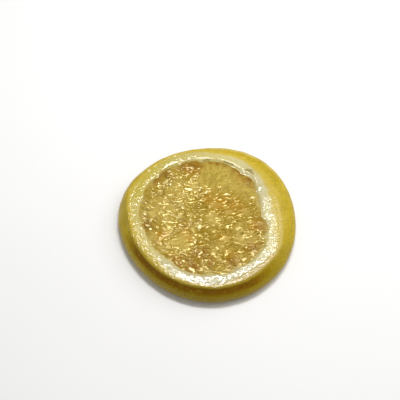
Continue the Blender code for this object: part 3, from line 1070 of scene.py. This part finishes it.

# The peel's flesh, which is darker on the front side as painted shade, and the pith.
FRONT_FLESH_PAINTED_SHADE, FLESH_SPECKLED, FLESH_SPECKLE_SHADE, AMBER_SHARE = 0.76, 0.4, 1.1, 0.8
YELLOW_PATCHES, YELLOW_SHADE = ((0.9 * MM, 4.0, 0.6), (0.45, 0.75, 0.0, 0.3)), 0.76
# Pores are darkened towards the fibres' colour as painted shade; the bundles are darker of their own.
PORES_PAINTED_SHADE, BUNDLES_DARKEN, BUNDLE_SHADE = (0.2, 0.8, 0.0, 0.6), (0.1, 0.65, 0.0, 0.85), 0.75
SEEPS = (1.4 * MM,), (0.3, 0.7, 0.25, 0.9)

# The rind's gloss, which the wall and its band lack, and its grain.
WALL_DULL, DULLS, PORES_DULL = 0.5, (0.0, 0.8, 1.0, 0.03), (0.2, 0.8, 1.0, 0.15)
RIND_GRAIN_NOISE, GRAIN_CELLS, CELLS_SHARE = (0.5 * MM, 4.0, 0.65), 0.55 * MM, 0.6
RIND_BUMP, COAT_BUMP, PITH_SMOOTHS = (0.10 * MM, 0.7), (0.08 * MM, 0.8), (1.0, 0.25)


def rind_material(rind):
    material, surface = new_material("yuzu rind")
    nodes = Nodes(material)
    uneven = nodes.times(nodes.math("SUBTRACT", nodes.noise(*BORDER_NOISE), 0.5), BORDER_UNEVEN)
    edge = nodes.math("ADD", "depth", uneven)
    speckle = nodes.patches(*SPECKLES)
    # A dark band just below the lip, where "soaked" is 1, is painted shade.
    in_shade_band = nodes.times(nodes.ramp("drop", *SHADE_BAND_STARTS), nodes.ramp("drop", *SHADE_BAND_ENDS))
    in_shade_band = nodes.times(in_shade_band, "soaked")
    # Where "ripe" is low, on the front side, the skin and the peel's flesh are darker: painted shade.
    skin = nodes.paint(
        rind.greener_and_shaded_peel,
        ("ripe", rind.peel),
        (nodes.patches(*PATCHES), rind.greener_and_shaded_peel),
        (nodes.ramp("gland", *GLANDS_DARKEN), shade(rind.greener_and_shaded_peel, GLAND_SHADE)),
        (nodes.times(speckle, SKIN_SPECKLED), shade(rind.greener_and_shaded_peel, SKIN_SPECKLE_SHADE)),
        (in_shade_band, rind.band),
    )
    flesh = nodes.paint(
        shade(rind.flesh, FRONT_FLESH_PAINTED_SHADE),
        ("ripe", rind.flesh),
        (nodes.times("amber", AMBER_SHARE), rind.amber),
        (nodes.times(speckle, FLESH_SPECKLED), shade(rind.greener_and_shaded_peel, FLESH_SPECKLE_SHADE)),
    )
    pith = nodes.paint(
        rind.pith,
        ("pale", rind.pale_pith),
        ("stain", rind.yellow_pith),
    )
    # The pores in the pith get painted shade.
    colour = nodes.paint(
        skin,
        (nodes.ramp(edge, *SKIN_TO_FLESH), flesh),
        (nodes.ramp(edge, *FLESH_TO_PITH), pith),
        (nodes.patches(*YELLOW_PATCHES), shade(rind.yellow_pith, YELLOW_SHADE)),
        (nodes.ramp("pore", *PORES_PAINTED_SHADE), rind.fibre),
        (nodes.ramp("bundle", *BUNDLES_DARKEN), shade(rind.fibre, BUNDLE_SHADE)),
        (nodes.times("seep", nodes.patches(*SEEPS)), rind.seep),
    )
    nodes.fill(surface.inputs["Base Color"], colour)

    dull = nodes.times("wall", nodes.math("ADD", in_shade_band, WALL_DULL))
    coat = nodes.times(nodes.ramp(dull, *DULLS), nodes.ramp("pore", *PORES_DULL))
    nodes.fill(surface.inputs["Coat Weight"], coat)
    grain = nodes.noise(*RIND_GRAIN_NOISE)
    grain = nodes.math("ADD", grain, nodes.times(nodes.cells(GRAIN_CELLS), CELLS_SHARE))
    nodes.fill(surface.inputs["Normal"], nodes.bump(grain, *RIND_BUMP))
    fine_grain = nodes.times(grain, nodes.ramp(edge, *FLESH_TO_PITH, *PITH_SMOOTHS))
    nodes.fill(surface.inputs["Coat Normal"], nodes.bump(fine_grain, *COAT_BUMP))
    return material


# The pulp's gloss, which calm and golden places lack.
PULP_COAT, CALM_ROUGHNESS = (0.1, 0.8, 0.26, 0.0), (0.35, 0.95, 0.065, 0.38)

# The pulp's colours: its clouds, and how much of each tint there is at most.
CLOUDS, CLOUD_SHARE = ((3.0 * MM, 4.0, 0.6, 0.3), (0.35, 0.65)), 0.55
TINT_PATCHES = (1.6 * MM, 3.0), (0.3, 0.7, 0.5, 1.2)
MOST_TINT = {"golden": 0.92, "pale": 0.75, "orange": 0.85, "brown": 1.0}

# Sac walls and specks, which show most under the film, painted shade in the hollows, crests and the haze at
# the rim.
SAC_WALLS, WALL_LEAST, WALL_SHARE, WALL_SHADE = (0.1, 0.8, 1, 0), 0.3, 0.3, 0.62
SPECKS = (0.55 * MM, 2.0), (0.52, 0.7)
SPECK_LEAST, SPECK_SHARE, SPECK_SHADE = 0.35, 0.4, 1.1
HOLLOWS_PAINTED_SHADE, HOLLOW_PAINTED_SHADE, CRESTS = (0.5, 0.9, 0.0, 0.62), 0.55, (0.2, 1.0, 0.0, 0.12)
HAZE_PATCHES = (1.8 * MM,), (0.4, 0.65, 0.0, 0.5)

# The pulp's grain, which the film smooths.
PULP_GRAIN_NOISE, FILM_SMOOTHS, PULP_BUMP = (0.6 * MM, 2.0, 0.5, 0.3), (0.2, 0.9, 1.0, 0.15), (0.05 * MM, 0.5)


def pulp_material(pulp):
    material, surface = new_material("yuzu pulp")
    surface.inputs["Specular Tint"].default_value = (*pulp.glint, 1)
    nodes = Nodes(material)
    coat = nodes.ramp(nodes.math("MAXIMUM", "golden", "calm"), *PULP_COAT)
    nodes.fill(surface.inputs["Coat Weight"], coat)
    nodes.fill(surface.inputs["Roughness"], nodes.ramp("calm", *CALM_ROUGHNESS))

    cloud = nodes.times(nodes.patches(*CLOUDS), CLOUD_SHARE)
    colour = nodes.mix(nodes.math("MAXIMUM", "film", cloud), pulp.juice, pulp.olive)
    uneven = nodes.patches(*TINT_PATCHES)
    for tint, most in MOST_TINT.items():
        share = nodes.times(nodes.times(tint, uneven), most)
        colour = nodes.mix(nodes.math("MINIMUM", share, 1.0), colour, getattr(pulp, tint))
    walls = nodes.times(nodes.ramp("sac", *SAC_WALLS), nodes.math("ADD", "film", WALL_LEAST))
    specks = nodes.times(nodes.patches(*SPECKS), nodes.math("ADD", "film", SPECK_LEAST))
    haze = nodes.times("rim", nodes.patches(*HAZE_PATCHES))
    for hider in ("film", "brown"):
        haze = nodes.times(haze, nodes.math("SUBTRACT", 1.0, hider))
    # The hollows between the lumps get painted shade.
    colour = nodes.paint(
        colour,
        (nodes.times(walls, WALL_SHARE), shade(pulp.juice, WALL_SHADE)),
        (nodes.ramp("hollow", *HOLLOWS_PAINTED_SHADE), shade(pulp.juice, HOLLOW_PAINTED_SHADE)),
        (nodes.ramp("crest", *CRESTS), pulp.pale),
        (nodes.times(specks, SPECK_SHARE), shade(pulp.brown, SPECK_SHADE)),
        (haze, pulp.haze),
    )
    nodes.fill(surface.inputs["Base Color"], colour)

    height = nodes.times(nodes.noise(*PULP_GRAIN_NOISE), nodes.ramp("film", *FILM_SMOOTHS))
    nodes.fill(surface.inputs["Normal"], nodes.bump(height, *PULP_BUMP))
    return material


MEMBRANE_PATCHES = (1.5 * MM,), (0.35, 0.65)
MEMBRANE_GRAIN_NOISE, MEMBRANE_BUMP = (0.5 * MM,), (0.06 * MM, 0.5)
FLOOR_PATCHES, FLOOR_SHADE = ((120 * MM, 2.0), (0.3, 0.7)), 0.98


def membrane_material(pulp):
    material, surface = new_material("yuzu membrane")
    surface.inputs["Specular Tint"].default_value = (*pulp.glint, 1)
    nodes = Nodes(material)
    patchy = nodes.patches(*MEMBRANE_PATCHES)
    nodes.fill(surface.inputs["Base Color"], nodes.mix(patchy, pulp.pale, pulp.olive))
    nodes.fill(surface.inputs["Normal"], nodes.bump(nodes.noise(*MEMBRANE_GRAIN_NOISE), *MEMBRANE_BUMP))
    return material


def floor_material(stage):
    material, surface = new_material("floor")
    nodes = Nodes(material)
    soft = nodes.patches(*FLOOR_PATCHES)
    nodes.fill(surface.inputs["Base Color"], nodes.mix(soft, shade(stage.floor, FLOOR_SHADE), stage.floor))
    return material


# Stage ----------------------------------------------------

# Where the slice's middle stands in the picture, and the lens, in the picture's pixels.
FRAME_PIXELS = 400
SLICE_PIXEL = (208.95, 219.4)
LENS_PIXELS = 870
SENSOR = 36
CLIP_START = 10 * MM
MIDDLE_HEIGHT = 3 * MM

FLOOR_SIZE = 3
WORLD_COLOUR, WORLD_STRENGTH = (1.0, 0.99, 0.97, 1), 0.36

# Soft lights, which face the slice: name, place, width, height and power.
LIGHTS = (
    ("strip", (0.030, 0.140, 0.373), 0.16, 0.065, 0.84),
    ("window", (0.32, 0.20, 0.45), 0.50, 0.50, 1.4),
)


def add_light(name, place, width, height, power):
    light = bpy.data.lights.new(name, "AREA")
    light.shape = "RECTANGLE"
    light.size = width
    light.size_y = height
    light.energy = power
    lamp = bpy.data.objects.new(name, light)
    lamp.location = place
    lamp.rotation_euler = Vector(place).to_track_quat("Z", "Y").to_euler()
    bpy.context.scene.collection.objects.link(lamp)


def add_camera(context, elevation, distance):
    """A camera in front of the slice, which sees its middle where it stands in the picture."""
    camera = bpy.data.objects.new("camera", bpy.data.cameras.new("camera"))
    camera.data.sensor_width = SENSOR
    camera.data.lens = LENS_PIXELS / FRAME_PIXELS * SENSOR
    camera.data.clip_start = CLIP_START
    back = Vector((0, -math.cos(elevation), math.sin(elevation)))
    up = Vector((0, math.sin(elevation), math.cos(elevation)))
    right_by, down_by = (pixel - FRAME_PIXELS / 2 for pixel in SLICE_PIXEL)
    aim = Vector((AXIS[0], AXIS[1], MIDDLE_HEIGHT))
    aim += (Vector((-right_by, 0, 0)) + up * down_by) * distance / LENS_PIXELS
    camera.location = aim + back * distance
    camera.rotation_euler = back.to_track_quat("Z", "Y").to_euler()
    context.scene.collection.objects.link(camera)
    context.scene.camera = camera


def make_stage(context):
    stage = context.scene.yuzu_stage
    floor = new_piece("floor", bpy.ops.mesh.primitive_plane_add, size=FLOOR_SIZE)
    floor.data.materials.append(floor_material(stage))
    for light in LIGHTS:
        add_light(*light)
    world = bpy.data.worlds.new("studio")
    world.use_nodes = True
    background = world.node_tree.nodes["Background"]
    background.inputs["Color"].default_value = WORLD_COLOUR
    background.inputs["Strength"].default_value = WORLD_STRENGTH
    context.scene.world = world
    context.scene.view_settings.view_transform = "Standard"
    add_camera(context, stage.camera_elevation, stage.camera_distance)


# Add-on ---------------------------------------------------


class YUZU_OT_rind(bpy.types.Operator):
    """Model the ring of peel and pith round the pulp"""

    bl_idname = "yuzu.rind"
    bl_label = "Rind"

    def execute(self, context):
        make_rind(context)
        return {"FINISHED"}


class YUZU_OT_segments(bpy.types.Operator):
    """Model the segments of juice sacs"""

    bl_idname = "yuzu.segments"
    bl_label = "Segments"

    def execute(self, context):
        make_segments(context)
        return {"FINISHED"}


class YUZU_OT_membranes(bpy.types.Operator):
    """Model the membranes between the segments"""

    bl_idname = "yuzu.membranes"
    bl_label = "Membranes"

    def execute(self, context):
        make_membranes(context)
        return {"FINISHED"}


class YUZU_OT_core(bpy.types.Operator):
    """Model the column in the fruit's middle"""

    bl_idname = "yuzu.core"
    bl_label = "Core"

    def execute(self, context):
        make_core(context)
        return {"FINISHED"}


class YUZU_OT_stage(bpy.types.Operator):
    """Set up the floor, the soft lights and the camera"""

    bl_idname = "yuzu.stage"
    bl_label = "Stage"

    def execute(self, context):
        make_stage(context)
        return {"FINISHED"}


class YUZU_PT_slice(bpy.types.Panel):
    bl_idname = "YUZU_PT_slice"
    bl_label = "Yuzu Slice"
    bl_space_type = "VIEW_3D"
    bl_region_type = "UI"
    bl_category = "Yuzu"

    def draw(self, context):
        for settings in (context.scene.yuzu_rind, context.scene.yuzu_pulp, context.scene.yuzu_stage):
            box = self.layout.box()
            for name in settings.__annotations__:
                box.prop(settings, name)
        for operator in (YUZU_OT_rind, YUZU_OT_segments, YUZU_OT_membranes, YUZU_OT_core, YUZU_OT_stage):
            self.layout.operator(operator.bl_idname)


SETTINGS = {"yuzu_rind": YuzuRindSettings, "yuzu_pulp": YuzuPulpSettings, "yuzu_stage": YuzuStageSettings}
CLASSES = (
    *SETTINGS.values(),
    YUZU_OT_rind,
    YUZU_OT_segments,
    YUZU_OT_membranes,
    YUZU_OT_core,
    YUZU_OT_stage,
    YUZU_PT_slice,
)


def register():
    for cls in CLASSES:
        bpy.utils.register_class(cls)
    for name, settings in SETTINGS.items():
        setattr(bpy.types.Scene, name, bpy.props.PointerProperty(type=settings))


def unregister():
    for name in SETTINGS:
        delattr(bpy.types.Scene, name)
    for cls in reversed(CLASSES):
        bpy.utils.unregister_class(cls)


def main():
    register()
    bpy.ops.yuzu.rind()
    bpy.ops.yuzu.segments()
    bpy.ops.yuzu.membranes()
    bpy.ops.yuzu.core()
    bpy.ops.yuzu.stage()


if __name__ == "__main__":
    main()
